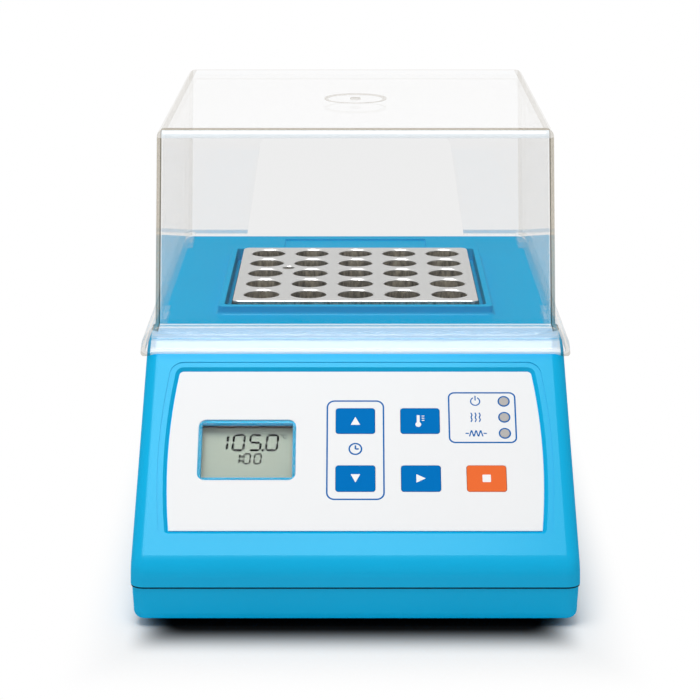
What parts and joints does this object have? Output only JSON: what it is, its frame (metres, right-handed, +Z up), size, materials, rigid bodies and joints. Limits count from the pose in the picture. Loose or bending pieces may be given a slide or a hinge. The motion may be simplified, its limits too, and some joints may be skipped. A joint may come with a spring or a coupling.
{
  "type": "chemical oxygen demand reactor",
  "caption": "Bench block heater for sealed digestion vials: moulded housing with sloped control panel, drilled metal block and clear lift-off safety shield.",
  "frame": {"origin": "on the bench under the middle of the housing", "axes": "+X right, +Y to the back, +Z up, seen from the control panel"},
  "size_m": [0.192, 0.3, 0.197],
  "materials": {
    "housing_blue": "satin moulded",
    "shield_clear": "clear polished",
    "overlay_white": "fine matt film",
    "window_clear": "clear film",
    "display_grey": "polariser",
    "key_blue": "matt",
    "key_orange": "matt",
    "lamp_grey": "diffused lens",
    "block_aluminium": "machined",
    "plate_aluminium": "rolled",
    "steel": "zinc plated",
    "iron": "varnished laminations",
    "brass": "bright",
    "rubber": "matt",
    "insulation": "ceramic fibre",
    "board_green": "solder mask",
    "terminal_green": "moulded",
    "dark_plastic": "moulded",
    "coil_tape": "tape wrapped",
    "capacitor_sleeve": "shrink sleeve",
    "ribbon_grey": "flat cable",
    "fuse_glass": "clear"
  },
  "bodies": {
    "housing": {"upper_shell": "housing_blue", "lower_shell": "housing_blue", "rubber_feet": "rubber", "case_screws": "steel", "control_overlay": "overlay_white", "display_window": "window_clear", "display_module": "display_grey", "display_board": "board_green", "display_board_screws": "steel", "key_switches": "steel", "indicator_lamps": "lamp_grey", "heater_block": "block_aluminium", "heating_plate": "plate_aluminium", "insulation_pad": "insulation", "insulation_jacket": "insulation", "block_tray": "steel", "block_standoffs": "steel", "block_screws": "steel", "tray_screws": "steel", "temperature_probe": "steel", "thermal_cutout": "dark_plastic", "main_board": "board_green", "main_board_screws": "steel", "transformer_core": "iron", "transformer_coil": "coil_tape", "heater_relay": "dark_plastic", "capacitors": "capacitor_sleeve", "terminal_block": "terminal_green", "ribbon_header": "dark_plastic", "ribbon_cable": "ribbon_grey", "mains_inlet": "dark_plastic", "inlet_pins": "brass", "inlet_screws": "steel", "switch_frame": "dark_plastic"},
    "shield": {"safety_shield": "shield_clear"},
    "up_button": {"up_key": "key_blue"},
    "down_button": {"down_key": "key_blue"},
    "temperature_button": {"temperature_key": "key_blue"},
    "start_button": {"start_key": "key_blue"},
    "stop_button": {"stop_key": "key_orange"},
    "fuse_carrier": {"fuse_drawer": "dark_plastic", "fuse": "fuse_glass"},
    "rocker": {"power_rocker": "dark_plastic"}
  },
  "joints": [
    {"name": "shield_lift", "type": "slide", "parent": "housing", "child": "shield", "axis": [0, 0, 1], "range_m": [0, 0.15]},
    {"name": "up_press", "type": "slide", "parent": "housing", "child": "up_button", "axis": [0, 0.6934, -0.7206], "range_m": [0, 0.0005], "stiffness_N_per_m": 2000, "springref_m": -0.0004},
    {"name": "down_press", "type": "slide", "parent": "housing", "child": "down_button", "axis": [0, 0.6934, -0.7206], "range_m": [0, 0.0005], "stiffness_N_per_m": 2000, "springref_m": -0.0004},
    {"name": "temperature_press", "type": "slide", "parent": "housing", "child": "temperature_button", "axis": [0, 0.6934, -0.7206], "range_m": [0, 0.0005], "stiffness_N_per_m": 2000, "springref_m": -0.0004},
    {"name": "start_press", "type": "slide", "parent": "housing", "child": "start_button", "axis": [0, 0.6934, -0.7206], "range_m": [0, 0.0005], "stiffness_N_per_m": 2000, "springref_m": -0.0004},
    {"name": "stop_press", "type": "slide", "parent": "housing", "child": "stop_button", "axis": [0, 0.6934, -0.7206], "range_m": [0, 0.0005], "stiffness_N_per_m": 2000, "springref_m": -0.0004},
    {"name": "fuse_pull", "type": "slide", "parent": "housing", "child": "fuse_carrier", "axis": [0, 1, 0], "range_m": [0, 0.016]},
    {"name": "rocker_tip", "type": "hinge", "parent": "housing", "child": "rocker", "pos_m": [0.022, 0.1444, 0.051], "axis": [1, 0, 0], "range_deg": [0, 16]}
  ]
}
